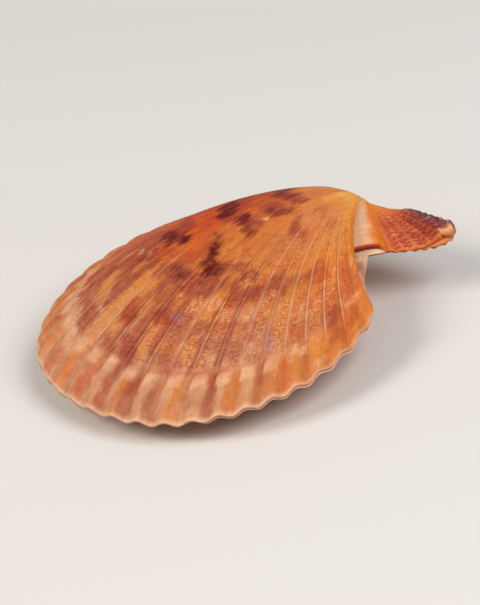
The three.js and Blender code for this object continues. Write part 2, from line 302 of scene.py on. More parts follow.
def crust_lumps(count, s):
    """Noise in two sizes, about 1 mm and 0.4 mm, for the crust on the long ear's hinge edge."""
    return lattice_noise(count * 1.7, s * 29, 5) + 0.6 * lattice_noise(count * 4, s * 65, 6)


def thread_weight(phase, s):
    """The thread along the middle of each groove, strong in front and faint behind: a narrow bell
    across the groove, up to the growth stop or, in front, a little past it."""
    end = STOP - 0.008 + 0.06 * (1 - smooth(3, 5, phase))
    along = span(s, 0.15, 0.32, end - 0.004, end + 0.004) * smooth(0.3, 0.8, phase)
    return bell(from_groove(phase) * s, THREAD_WIDTH) * along * (1 - 0.4 * smooth(5.5, 7.5, phase))


def sculpture(col, s, sizes):
    """Height over the smooth valve in millimetres: ribs and the thread in each groove, the ledge
    of the growth stop, the scaly riblets of the long ear and the crust along its hinge edge."""
    growth = s * smooth(0.1, 0.4, s)
    height = col.ribbed * rib_profile(col.rib, s) * sizes.rib_height / MM * growth / 2
    height = height + col.ribbed * thread_weight(col.rib, s) * sizes.thread_height / MM
    ledge = smooth(STOP - 0.002, STOP + 0.004, s) * smooth(0, 1 - STOP, 1 - s) * smooth(2, 5, col.rib)
    height -= col.ribbed * ledge * sizes.ledge_height / MM
    # Ear: cosine riblets, with scales that rise towards the lip and then break off.
    height += col.riblet * -np.cos(np.pi * col.count) * RIBLET_HEIGHT * growth
    height += col.riblet * (ear_scales(col, s, sizes) ** 1.5 - 0.4) * sizes.scale_height / MM * growth
    height += smooth(0.1, 0.6, col.crest) * crust_lumps(col.count, s) * sizes.crust_height / MM * growth
    return height


def steps_through(start, middle, end, before, count):
    """That many values from start to end, with so many of them before the middle one."""
    near = np.linspace(start, middle, before, endpoint=False)
    return np.concatenate([near, np.linspace(middle, end, count - before)])


def meeting_place(col, t):
    """X and Y of the inner sheet where it lies in the meeting plane: the lip point scaled from the
    beak outwards, with the radii's sweep."""
    reach = (t - INNER_START) / (1 - INNER_START)
    return col.x * reach + sweep(col, reach), col.y * reach


def valve_surfaces(which, sizes):
    """The two sheets of a valve and the growth at each of their rows. The outer sheet is the
    growth surface with its sculpture. The inner one runs in the meeting plane near the lip and
    the hinge, and follows the outside at the wall's thickness under the disc."""
    col = valve_columns(which)
    upper = which == "upper"
    s = steps_through(FIRST_GROWTH, BEAK_END, LAST_GROWTH, BEAK_ROWS, OUTER_ROWS)
    base = grow(col, s, SPIRAL[which])
    wall = LIP_THICKNESS[which] * smooth(0, 1, s / col.thin)
    crest = HINGE_CREST * col.crest * smooth(0.25, 0.6, s)
    outer = base + normals(base) * sculpture(col, s, sizes)[..., None]
    fall = HOOD_FALL * col.hood * (-1 if upper else 1)
    bevel = LIP_BEVEL * LIP_THICKNESS[which] * smooth(*BEVEL_ZONE, s) ** 2
    outer[..., 2] += HALF_GAP + wall - bevel + crest + fall * smooth(*LIP_ZONE, s)
    outer[..., 2] += NOTCH_GAPE * col.raised * s

    t = steps_through(INNER_START, LIP_START, 1, INNER_ROWS - LIP_ROWS - 1, INNER_ROWS)
    wave = -np.cos(2 * np.pi * col.phase) * col.ribbed
    wave = (LIP_WAVE * wave * (1 if upper else -1) + fall) * smooth(*LIP_ZONE, t)
    raised = NOTCH_GAPE * col.raised * smooth(0.5, 1, t)
    flat = np.stack(np.broadcast_arrays(*meeting_place(col, t), HALF_GAP + raised + wave), -1)
    roof = grow(col, t, SPIRAL[which])
    ribs = rib_profile(col.rib, t) * INNER_RIB_HEIGHT * smooth(0.4, 0.9, t)
    roof = roof + normals(roof) * (ribs - WALL)[..., None]
    roof[..., 2] = np.maximum(roof[..., 2] + LIP_THICKNESS[which], HALF_GAP)
    hollow = (span(t, 0.2, 0.3, 0.9, 0.95) * smooth(0.06, 0.18, col.fan) * col.ribbed)[..., None]
    inner = flat * (1 - hollow) + roof * hollow
    return col, s, t, outer, inner


def closed_faces(columns, rows, rungs, k_of_row):
    """Quads and triangles of both sheets and of the walls that join them all round. k_of_row
    pairs each outer row with the inner row that it meets on the hinge line."""
    out = lambda column, row: column * rows + row
    inn = lambda column, row: columns * rows + column * rungs + row
    faces = lambda *corners: np.stack(corners, -1).reshape(-1, len(corners))
    i, j = np.meshgrid(np.arange(columns - 1), np.arange(rows - 1), indexing="ij")
    outside = faces(out(i, j), out(i + 1, j), out(i + 1, j + 1), out(i, j + 1))
    i, k = np.meshgrid(np.arange(columns - 1), np.arange(rungs - 1), indexing="ij")
    inside = faces(inn(i, k), inn(i, k + 1), inn(i + 1, k + 1), inn(i + 1, k))
    i = np.arange(columns - 1)
    lip = faces(out(i, rows - 1), out(i + 1, rows - 1), inn(i + 1, rungs - 1), inn(i, rungs - 1))
    beak = faces(out(i, 0), inn(i, 0), inn(i + 1, 0), out(i + 1, 0))
    j, k, end = np.arange(rows - 1), k_of_row, columns - 1
    rise = np.flatnonzero(k[1:] > k[:-1])
    sides = np.concatenate([
        faces(inn(0, k[:-1]), out(0, j), out(0, j + 1)),
        faces(inn(0, k[rise]), out(0, rise + 1), inn(0, k[rise + 1])),
        faces(inn(end, k[:-1]), out(end, j + 1), out(end, j)),
        faces(inn(end, k[rise]), inn(end, k[rise + 1]), out(end, rise + 1)),
    ])
    return outside, inside, np.concatenate([lip, beak]), sides


# ---- markings

# Colours along growth: stops of growth and pigment.
RAMPS = {
    "middle_ribs": [
        (0.1, "beak"), (0.22, "young"), (0.45, "disc"), (0.62, "disc"),
        (0.8, "late"), (0.88, "late"), (0.92, "margin"), (1, "margin"),
    ],
    "front_ribs": [(0.15, "beak"), (0.35, "front"), (0.7, "front"), (0.88, "ochre"), (1, "ochre")],
    "hind_ribs": [(0.1, "beak"), (0.2, "side"), (0.85, "side"), (1, "late")],
    "front_flank": [(0.15, "beak"), (0.4, "front"), (1, "front")],
    "flank": [(0.1, "beak"), (0.5, "cream"), (1, "cream")],
    "ear": [(0.1, "beak"), (0.3, "ear_base"), (0.55, "ear"), (1, "ear")],
    "inside": [(0.1, "inside"), (0.75, "inside"), (0.93, "flush"), (1, "flush")],
}
# Washes over the fan, in order: pigment or ramp, strength, the growths over which it comes in and
# goes out, and the rib phases over which it does the same. None is an open side.
WASHES = [
    ("front_ribs", 0.85, None, None, None, (-0.5, 5.5)),
    ("young", 0.8, None, (0.2, 0.3), (7, 9.5), None),
    ("hind_ribs", 0.85, None, None, (14.5, 19), None),
    ("hind_ribs", 0.85, (0.1, 0.2), (0.45, 0.6), (9, 14), None),
    ("ember", 0.8, (0.22, 0.32), (0.42, 0.55), (12.5, 15), None),
    # Painted light: the beak's amber over the front ribs near the beak, for the light that falls on the
    # front flank.
    ("beak", 0.4, None, (0.4, 0.6), None, (0, 2.5)),
    ("side", 0.17, (0.65, 0.85), None, None, (3.5, 6)),
    ("deep_red", 0.35, (0.12, 0.18), (0.22, 0.35), (13, 16), None),
    ("ember", 0.3, (0.25, 0.35), (0.5, 0.65), (15.5, 17), None),
    ("flush", 0.1, (0.15, 0.25), (0.4, 0.55), (0.5, 2), (6, 9)),
]
# Strokes by pigment: rib phase and growth at both ends, half width in growth, strength, all but
# the phases in percent. They step from rib to rib, as the mantle's edge lays them down.
UPPER_STROKES = {
    "amber": [
        (2.2, 93, 2.5, 88, 2, 40), (3.2, 52, 3.1, 42, 2.2, 40), (4.2, 50, 4.2, 44, 2, 30),
        (4.3, 79, 4.7, 68, 2.5, 35), (4.4, 74, 4.4, 66, 2.5, 30), (7.4, 55.5, 7.8, 54.5, 1.6, 70),
        (7.5, 23.5, 9, 22, 2, 30), (8.5, 70, 8.5, 64, 2.5, 30), (8.6, 82, 8.6, 78, 2, 30),
        (9.4, 82, 9.7, 79, 1.8, 40), (10.5, 82, 10.8, 74, 1.8, 40), (11.6, 69, 11.9, 67, 1.5, 30),
        (12.2, 81, 12.8, 80, 1.8, 30), (12.3, 80, 12.9, 79, 1.4, 40), (12.6, 69, 12.6, 62, 2, 30),
        (13.4, 83, 13.4, 62, 2, 40), (14.8, 76, 15.1, 70, 1.5, 40), (15.2, 74.5, 15.6, 70, 2, 60),
    ],
    "side": [
        (10.2, 57.5, 10.9, 56.5, 1.2, 70), (12.2, 49, 13.6, 45, 3, 60), (13.9, 55.2, 15.8, 55.2, 0.8, 80),
        (14.1, 45, 16.6, 42, 3.5, 90), (14.6, 57, 15.8, 56, 1, 80),
    ],
    "rust": [
        (0, 80, 0.3, 76, 2.5, 40), (0.1, 62, 0.4, 56, 1.5, 35), (0.4, 72, 0.5, 62, 2.5, 50),
        (0.5, 80, 0.8, 76, 2, 45), (0.5, 92, 0.7, 87, 2, 50), (1.2, 95, 1.5, 90, 2, 40),
        (1.4, 84, 1.5, 74, 2, 40), (2.2, 62, 2.7, 56, 3, 50), (3.35, 82, 3.5, 77, 1.2, 40),
        (6.6, 66, 7.9, 63, 1.2, 60), (6.9, 86.5, 7.9, 86, 1.4, 60), (8.9, 57, 9.9, 56, 1.2, 60),
        (10.4, 72.5, 10.7, 69, 1.4, 60), (11.9, 52.5, 13.3, 53, 2, 60), (12.4, 76, 12.7, 71, 1.8, 70),
        (12.9, 60, 13.3, 56, 1.4, 40), (13.9, 53, 14.7, 54, 2, 60), (14.8, 31, 17.5, 31, 1.6, 70),
        (15.2, 47.5, 17.8, 47, 2.2, 80), (15.5, 27, 18.5, 25, 3, 70), (15.6, 28, 18, 27, 3, 70),
        (18.5, 45, 21.5, 42, 3, 60),
    ],
    "mauve": [
        (1.45, 92, 1.6, 82, 1.8, 60), (2.3, 33.5, 3.1, 31, 2, 40), (2.8, 59, 4.2, 57, 2, 40),
        (3.7, 56.5, 5.4, 56.5, 1.6, 50), (4.8, 26, 6.3, 22.5, 2, 35), (4.9, 60, 6.1, 58.5, 2.8, 80),
        (5, 86, 5, 62, 0.7, 40), (5.1, 38.5, 5.9, 37, 1.8, 50), (6, 82, 6, 62, 0.6, 40),
        (6.2, 72, 7.6, 70, 1.6, 30), (6.3, 80, 7.4, 76, 3, 35), (6.4, 34, 7.6, 28.5, 2, 70),
        (6.4, 60, 8, 59, 2.5, 75), (7, 89, 7.1, 60, 0.9, 50), (7.3, 53, 9.8, 52.5, 2.2, 75),
        (7.6, 28.5, 9.4, 28, 1.2, 35), (8.1, 88, 8.1, 68, 0.6, 50), (8.4, 74, 11.4, 69, 1.8, 50),
        (9, 77, 9.3, 74, 1.5, 50), (9.1, 85, 9.4, 81, 2, 55), (9.2, 60, 12.6, 58, 3.2, 80),
        (9.4, 72, 10.9, 70, 2.2, 75), (9.4, 85, 9.5, 70, 1, 50), (9.6, 20.5, 12.5, 20.5, 2.2, 80),
        (9.6, 27, 12.2, 26.5, 2.6, 75), (9.7, 40, 9.9, 37, 1.5, 60), (10, 54, 12.4, 44, 3, 40),
        (10.1, 89, 10.1, 60, 0.8, 50), (10.2, 90, 10.3, 94, 1, 40), (10.5, 35, 18, 34.5, 2.2, 80),
        (11, 33, 11.9, 32, 1.2, 50), (11, 67, 11.9, 63, 3, 60), (11.1, 85, 11.5, 80, 2.2, 70),
        (11.2, 88, 11.2, 58, 1.3, 60), (12, 20, 21, 19.5, 2.2, 100), (12, 85, 12.6, 83, 1.6, 55),
        (12.2, 87, 12.2, 60, 0.7, 50), (12.5, 27, 14, 26, 2, 40), (13.8, 30, 19, 30, 2, 45),
        (14, 58, 14.8, 57.5, 1.5, 85), (14.2, 41, 18.5, 40, 2, 25), (14.2, 70, 14.2, 60, 1.2, 60),
        (14.2, 73, 14.4, 68, 1.4, 70), (14.2, 85, 14.5, 78, 2, 70), (14.4, 47.5, 17.6, 48, 2, 60),
        (15, 66, 15.9, 60, 3.5, 65), (15.3, 31, 18.5, 29, 2.2, 70), (15.4, 83, 15.5, 77, 1.8, 50),
        (15.8, 57, 16.7, 54, 3, 70), (16.2, 76, 17.7, 66, 3.5, 50), (16.3, 81, 16.3, 55, 1.6, 70),
        (17.3, 80, 17.3, 55, 1.6, 70), (18, 62, 21, 55, 3, 50), (19, 76, 22, 70, 3, 50),
    ],
    "plum": [
        (9.5, 28, 11.6, 28.5, 1.8, 40), (9.8, 54, 10.7, 51, 2.1, 90), (9.9, 38.5, 11, 37.5, 1.1, 60),
        (10.9, 36.5, 12.5, 34.5, 1.4, 55), (10.9, 48.5, 11.7, 45.5, 1.6, 95), (11.4, 58, 12.7, 57, 1.4, 50),
        (11.7, 44.5, 12.7, 42.5, 0.6, 50), (12, 21, 18, 20.5, 2, 45), (12.3, 34, 12.9, 33.8, 1, 85),
        (12.4, 74.5, 12.7, 73, 2, 35), (13.8, 34, 14.3, 33.8, 1, 85), (13.8, 47.6, 14.8, 47.6, 1.3, 80),
        (14.3, 34.5, 16.3, 35.2, 2.6, 95), (14.9, 51.5, 16.1, 52.5, 2.2, 95), (15.2, 62, 15.5, 59, 1.2, 40),
        (16.4, 34, 18.9, 33, 1.4, 75), (19, 33, 22, 30, 2, 50), (19.2, 52, 20.4, 50, 1.6, 60),
    ],
    "cream": [
        (2.3, 97.5, 2.6, 97, 1.2, 50), (3.2, 87.5, 3.6, 86.5, 1.2, 50), (6, 67, 8.8, 66, 2, 25),
        (10.2, 32, 10.5, 31.8, 0.6, 70), (14, 87.5, 18.5, 83.5, 2.8, 55), (15.9, 61, 16.1, 60.8, 0.6, 70),
    ],
    "violet": [(4.85, 81.5, 4.9, 79, 1.6, 70), (9.7, 71, 9.9, 70, 1.4, 50)],
}
# Strips after the growth stop, in order: pigment, rib phase at both sides, strength. They are partly pigment
# and partly painted light: pale sand on the crests, darker strips beside the grooves.
MARGIN_STRIPS = [
    ("side", 0.9, 1.2, 0.3), ("ochre", 1.33, 1.83, 0.3), ("side", 1.9, 2.15, 0.35),
    ("amber", 2.28, 2.83, 0.2), ("mauve", 2.9, 3.15, 0.25), ("amber", 3.23, 3.68, 0.25),
    ("side", 3.8, 4.2, 0.5), ("mauve", 4.9, 5.25, 0.4), ("sand", 5.28, 5.78, 0.55),
    ("ochre", 5.85, 6.4, 0.85), ("sand", 6.43, 6.78, 0.6), ("mauve", 6.8, 7.2, 0.6),
    ("sand", 7.23, 7.83, 0.4), ("ochre", 8.1, 8.6, 0.85), ("sand", 8.53, 8.98, 0.8),
    ("mauve", 9.15, 9.5, 0.6), ("sand", 9.48, 9.93, 0.8), ("mauve", 10, 10.45, 0.6),
    ("ochre", 10.45, 10.78, 0.85), ("sand", 10.73, 11.03, 0.8), ("mauve", 11, 11.45, 0.6),
    ("sand", 11.43, 12.03, 0.8), ("rust", 12.05, 12.5, 0.35), ("sand", 12.58, 12.98, 0.6),
    ("ochre", 13.1, 13.55, 0.75), ("sand", 13.63, 14.08, 0.7), ("rust", 14.25, 14.55, 0.5),
    ("sand", 14.63, 15.13, 0.5), ("ochre", 15.2, 15.6, 0.65), ("sand", 15.63, 16.03, 0.5),
    ("rust", 16.2, 16.55, 0.5), ("sand", 16.58, 17.13, 0.5), ("ochre", 17.25, 17.45, 0.65),
    ("mauve", 19, 19.5, 0.5), ("ochre", 20, 20.5, 0.55),
]
# The lower valve lay in the sand, out of the light: paler, with fewer and softer strokes.
LOWER_STROKES = {
    "amber": [(9.5, 54, 9.6, 46, 3, 30), (15.5, 78, 15.6, 68, 3, 30)],
    "side": [(5, 45, 8, 42, 3, 60), (13, 66, 15, 63, 3, 60)],
    "rust": [(2, 74, 2.2, 66, 3, 60), (10.8, 74, 11.4, 70, 2.5, 50), (19.5, 69, 20, 63, 3, 60)],
    "mauve": [
        (0.2, 90, 0.4, 82, 3, 60), (3.5, 57, 5, 54, 3, 60), (6, 79, 7, 75, 3, 50),
        (8, 63, 9.6, 61, 2.8, 60), (9.4, 37, 11, 35, 2, 50), (10, 22, 14, 20, 1.4, 40),
        (12, 51, 13.6, 49, 2.6, 70), (13.5, 80, 14.4, 76, 3, 50), (14, 33, 17, 31, 1.8, 50),
        (16.6, 60, 18, 56, 3, 60),
    ],
}
STROKES = {"upper": UPPER_STROKES, "lower": LOWER_STROKES}
# How dark the dots beside each groove are and how pale its thread is, from the front groove
# backwards.
DARK_GROOVES = [
    0.4, 0.65, 0.65, 0.55, 0.45, 0.55, 0.4, 0.75, 0.75, 0.4, 0.75, 0.85, 0.8, 0.2, 0.8, 0.75, 0.7, 0.5
]
PALE_THREADS = [0, 0.7, 0.7, 0.65, 0.5, 0.35, 0.5, 0.2, 0.2, 0.6, 0.2, 0.2, 0.3, 0.6, 0.2, 0.4, 0.2, 0.2]
RIB_REACH = 0.05  # one rib across counts as this much growth in a stroke's width
STROKE_UNITS = (RIB_REACH, 0.01, RIB_REACH, 0.01, 0.01, 0.01)


def stroke_weights(strokes, phase, s):
    """The strength of each pigment: the distance to each stroke's line, soft at the stroke's
    width, where every rib is moved by a fixed random step and the edge is broken by noise."""
    noise = noise_over(phase, s)
    step = np.random.default_rng(11).uniform(-0.016, 0.016, 64)[np.floor(phase).astype(int) % 64]
    down = s + step + 0.012 * noise(8, 30, 1)
    across = (phase + 0.2 * noise(2.3, 30, 2)) * RIB_REACH
    weights = {}
    for kind, lines in strokes.items():
        weights[kind] = np.zeros_like(s)
        for a, start, b, end, width, strength in np.array(lines) * STROKE_UNITS:
            run, rise = b - a, end - start
            along = np.clip(((across - a) * run + (down - start) * rise) / (run**2 + rise**2), 0, 1)
            away = np.hypot(across - a - along * run, down - start - along * rise)
            weights[kind] = np.maximum(weights[kind], strength * (1 - smooth(0.6, 1.5, away / width)))
    streak = 1 + 0.35 * noise(8, 14, 13) + 0.25 * noise(2, 130, 32)
    return {kind: np.clip(weight * streak, 0, 1) for kind, weight in weights.items()}


def ramp(name, s, tones):
    """The colour of a named ramp at each growth."""
    at = [growth for growth, _ in RAMPS[name]]
    stops = [getattr(tones, pigment) for _, pigment in RAMPS[name]]
    return np.stack([np.interp(s, at, [stop[k] for stop in stops]) for k in range(3)], -1)


def layered(base, *layers):
    """A colour under layers, each of them a colour and its weight at each point."""
    base = np.asarray(base)
    for colour, weight in layers:
        w = np.asarray(weight)[..., None]
        base = base * (1 - w) + np.asarray(colour) * w
    return base


def inside_range(x, comes_in, goes_out):
    """1 inside a range and 0 outside, each end of which is a pair, or None if it is open."""
    weight = 1 if comes_in is None else smooth(*comes_in, x)
    return weight if goes_out is None else weight * (1 - smooth(*goes_out, x))


def by_groove(values, phase):
    """Values that are listed for each groove, joined in straight lines between them."""
    return np.interp(phase, np.arange(len(values)), values)


def fan_colours(col, s, tones):
    """The fan's ground: washes, then clouds, then flecks a third of a rib across, which are
    plainer towards the lip, and faint bands, as a day's growth took more or less pigment."""
    phase, ribbed, noise = col.rib, col.ribbed, noise_over(col.rib, s)
    colour = ramp("middle_ribs", s, tones)
    for name, strength, *ends in WASHES:
        wash = ramp(name, s, tones) if name in RAMPS else getattr(tones, name)
        weight = inside_range(s, *ends[:2]) * inside_range(phase, *ends[2:]) * strength
        colour = layered(colour, (wash, weight))
    # Painted light: the first rib is lightened, for the light that falls on the front flank.
    first_rib = (1 - smooth(0, 1.3, phase)) * smooth(0.1, 0.2, s)
    colour = colour * (1 + 0.15 * first_rib)[..., None]
    cloud = noise(0.8, 14, 3) + 0.5 * noise(2, 40, 4)
    fleck = noise(3, 45, 28) + 0.6 * noise(6, 90, 29)
    colour = layered(
        colour,
        (tones.amber, np.clip(cloud, 0, 1) * 0.3),
        (tones.side, np.clip(-cloud, 0, 1) * 0.3),
        (tones.cream, smooth(0.2, 1, fleck) * smooth(0.45, 0.65, s) * ribbed * 0.35),
        (tones.mauve, smooth(0.2, 1, -fleck) * smooth(0.2, 0.45, s) * ribbed * 0.3),
    )
    bands = noise(0.5, 110, 23) + 0.6 * noise(1.5, 190, 24)
    return colour * (1 + 0.07 * bands * ribbed)[..., None]


def fan_marks(colour, col, s, which, tones):
    """The fan's ground under its strokes, strips, cream band, grooves, threads and rim."""
    phase, ribbed, noise = col.rib, col.ribbed, noise_over(col.rib, s)
    # After the stop the front ribs are amber, and most have strips along their sides, partly painted light:
    # pale on the crests and darker beside the grooves.
    late = smooth(STOP + 0.01, STOP + 0.04, s) * ribbed
    colour = layered(colour, (tones.ochre, late * (1 - smooth(2, 8, phase)) * 0.75))
    for kind, weight in stroke_weights(STROKES[which], phase, s).items():
        colour = layered(colour, (getattr(tones, kind), weight * ribbed))
    shifted = phase + 0.1 * noise(3, 40, 26)
    wear_and_glint = 0.75 + 0.35 * noise(2, 55, 30)
    for kind, p0, p1, strength in MARGIN_STRIPS:
        strip = span(shifted, p0 - 0.08, p0 + 0.06, p1 - 0.06, p1 + 0.08)
        colour = layered(colour, (getattr(tones, kind), strip * late * strength * wear_and_glint))
    away = from_groove(phase)
    # Painted shade: the grooves after the stop are darkened with the groove's tone.
    valley = bell(away, 0.09) * late * smooth(1.5, 3, phase)
    valley = valley * (0.22 + 0.1 * noise(2, 40, 35))
    # A cream band just after the stop, broken at the front side of each rib.
    at = 0.89 - 0.012 * smooth(9, 13, phase) + 0.008 * noise(2, 3, 8)
    band = span(s - at, -0.03, -0.015, 0.01, 0.025) * smooth(0.3, 0.5, (phase + 0.1) % 1)
    band = band * (0.75 + 0.4 * noise(1.7, 60, 34)) * smooth(3, 5, phase)

    # Grooves hold darker pigment, with a pale thread down the middle of each. The dark lines beside each
    # thread are partly that pigment and partly painted shade of the groove's sides.
    early = span(s, 0.3, 0.5, STOP - 0.01, STOP + 0.01) * ribbed
    dark = bell(away - 0.1, 0.045) * (0.3 + 0.7 * smooth(0.5, 0.65, s)) * early
    dark = dark * (0.7 + 0.3 * noise(3, 25, 16)) * by_groove(DARK_GROOVES, phase)
    thread = thread_weight(phase, s) * ribbed * (0.8 + 0.3 * noise(1, 60, 17))
    thread = thread * (1.25 - 0.4 * smooth(0.45, 0.65, s))
    beside = bell(away, 0.1) * early * (0.2 + 0.15 * noise(6, 70, 33))
    pale = by_groove(PALE_THREADS, phase) * smooth(0.2, 0.4, s)
    pale = pale * (1 - smooth(7, 8.5, phase) * (1 - smooth(0.45, 0.6, s)))
    colour = layered(
        colour,
        (tones.groove, valley),
        (tones.cream, ribbed * band * 0.75),
        (tones.groove, dark * 0.45),
        (tones.thread, np.maximum(thread, beside) * pale),
    )
    if which == "upper":
        rim = smooth(0.988, 0.996, s) * (0.35 + 0.25 * smooth(2.5, 4, phase))
        return layered(colour, (tones.rim, rim))
    lip_line = bell(s - 0.965, 0.006) * ribbed * 0.6
    return layered(colour, (tones.rust, lip_line), (tones.rim, smooth(0.968, 0.98, s) * 0.8))


def ear_colours(col, s, sizes, tones):
    """The long ear: red-orange under a net of paler scale edges, deep red towards the hinge, and
    there a purple-grey crust with whitish painted glints on its lumps. The tip's lip is pale. The
    notch's track beside it turns from orange through cream to a pinkish grey of painted shade,
    and its lip is darkened by a painted shadow."""
    count, noise = col.count, noise_over(col.count, s)
    edge = smooth(0.55, 0.9, ear_scales(col, s, sizes))
    crest_line = smooth(0.4, 0.95, -np.cos(np.pi * count))
    net = np.maximum(edge, 0.75 * crest_line) * smooth(0.3, 0.5, s) * smooth(0, 1, count)
    net = net * (0.8 + 0.5 * noise(1.3, 28, 31))
    deep = (1 - smooth(2.5, 7.5, count + 1.2 * noise(1, 20, 9))) * smooth(0.35, 0.6, s)
    crust = 1 - smooth(0.4, 2.2, count + 1.5 * noise(2, 30, 10))
    crust = crust * smooth(0.27, 0.42, s)
    glint_specks = 0.5 * crust_lumps(count, s) + noise(6, 90, 27)
    tip = smooth(0.93, 0.965, s + 0.01 * noise(3, 20, 18)) * smooth(0.3, 0.9, count)
    past_tip = smooth(2.2, 3, count)
    ear = layered(
        ramp("ear", s, tones),
        (tones.groove, (1 - net) * 0.2 * smooth(0.4, 0.6, s)),
        (tones.deep_red, deep * 0.8),
        (tones.ear_net, net * (0.5 - 0.25 * deep)),
        (tones.ear_base, smooth(RIBLETS - 3.5, RIBLETS - 0.5, count) * 0.85),
        (tones.crust, crust * 0.8),
        # Painted glints: whitish flecks on the crust's lumps.
        (tones.crust_glint, crust * smooth(0.3, 0.9, glint_specks) * 0.5),
        (tones.ear_tip, tip * (1 - past_tip) * 0.9),
        (tones.ear_base, smooth(0.98, 0.995, s) * past_tip * 0.7),
    )
    across = count - RIBLETS + 0.5 * noise(1, 12, 19)
    track = layered(
        tones.ear_base,
        (tones.cream, smooth(0.6, 2.2, across)),
        # Painted shade: the pinkish grey by the disc's edge.
        (tones.flank_grey, smooth(3.2, 4.6, across) * (0.9 - 0.6 * smooth(0.6, 0.85, s))),
        (tones.beak, 1 - smooth(0.12, 0.4, s)),
        # Painted shadow: dark red along the track's lip, in the gap under it.
        (tones.slit, smooth(0.975, 0.99, s)),
    )
    return layered(ear, (track, smooth(RIBLETS - 0.6, RIBLETS + 0.8, count)))


def flank_colours(col, s, which, tones):
    """Beside the fan: cream with brownish marks. In front on the upper valve the pinkish grey by the
    notch, painted shade, turns into the orange of the front ribs."""
    marks = smooth(0, 0.5, lattice_noise(col.place * 0.3, s * 22, 12))
    flank = layered(ramp("flank", s, tones), (tones.mauve, marks * 0.75))
    if which == "lower":
        return flank
    beside = np.clip((col.place - EAR_COLUMNS) / FLANK_COLUMNS, 0, 1)
    # The pinkish grey here is painted shade by the notch.
    front = layered(tones.flank_grey, (ramp("front_flank", s, tones), smooth(0.1, 0.35, beside)))
    return np.where((col.place < EAR_COLUMNS + FLANK_COLUMNS)[..., None], front, flank)


def outer_colours(col, s, which, sizes, tones):
    """Linear colour of each point of the outer sheet."""
    colour = fan_marks(fan_colours(col, s, tones), col, s, which, tones)
    on_ear = col.place < EAR_COLUMNS
    colour = layered(colour, (flank_colours(col, s, which, tones), (1 - col.ribbed) * ~on_ear))
    return np.where(on_ear[..., None], ear_colours(col, s, sizes, tones), colour)


def inner_colours(col, t, which, tones):
    """Linear colour of the inside: porcelain white, flushed towards the lip with the outside's.
    The lower valve's face at the notch is out in the light, and is cream with brown marks."""
    stain = smooth(0.2, 0.7, lattice_noise(col.phase * 0.7, t * 9, 21))
    ear_lip = smooth(0.85, 0.93, t) * (1 - smooth(RIBLETS - 2, RIBLETS, col.count))
    inside = layered(ramp("inside", t, tones), (tones.flush, stain * 0.25), (tones.ear_base, ear_lip * 0.85))
    x, y = meeting_place(col, t)
    at_notch = 1 - smooth(*NOTCH_REACH, np.hypot(x - NOTCH[0], y - NOTCH[1]))
    if which == "upper":
        # Painted shadow: dark red in the gap under the notch's lip.
        return layered(inside, (tones.slit, at_notch * smooth(0.5, 0.8, t)))
    below = smooth(-13, -15, y)
    shown = layered(
        tones.rim,
        (tones.mauve, smooth(0, 0.4, lattice_noise(x * 0.5, y * 0.8, 12)) * below * 0.55),
        (tones.rust, smooth(0, 0.6, lattice_noise(x * 0.9, y * 0.5, 25)) * below * 0.4),
    )
    return layered(inside, (shown, at_notch))


# ---- materials

# Spacings in millimetres. The scales are larger than life, because those of the real shell
# wouldn't show in the render.
LINE_SPACING = 0.42
BEAD_SPACING = 0.45
SCALE_SPACING, SCALES_ACROSS = 0.62, 5.0  # along a rib, and how many stand across it
STREAKS = (14.0, 0.5)  # streaks for each rib, and for each millimetre of growth
# Noise for each metre: a grain of about 0.5 mm, clouds of about 3 mm, a slow ripple of about 2 mm.
GRAIN, CLOUDS, RIPPLE = 1800.0, 350.0, 500.0
CALCITE_IOR = 1.55


def add_node(tree, kind, *inputs, named=None, **settings):
    """The first output of a new node, and of its socket of that name if one is asked for. Inputs
    are given in order, as constants or as outputs to link, and named ones as a dictionary."""
    node = tree.nodes.new("ShaderNode" + kind)
    for name, value in settings.items():
        setattr(node, name, value)
    for key, value in {**dict(enumerate(inputs)), **(named or {})}.items():
        if isinstance(value, bpy.types.NodeSocket):
            tree.links.new(value, node.inputs[key])
        else:
            node.inputs[key].default_value = value
    return node.outputs


def new_material(name):
    """An empty node material and its tree."""
    material = bpy.data.materials.new(name)
    material.use_nodes = True
    material.node_tree.nodes.clear()
    return material, material.node_tree


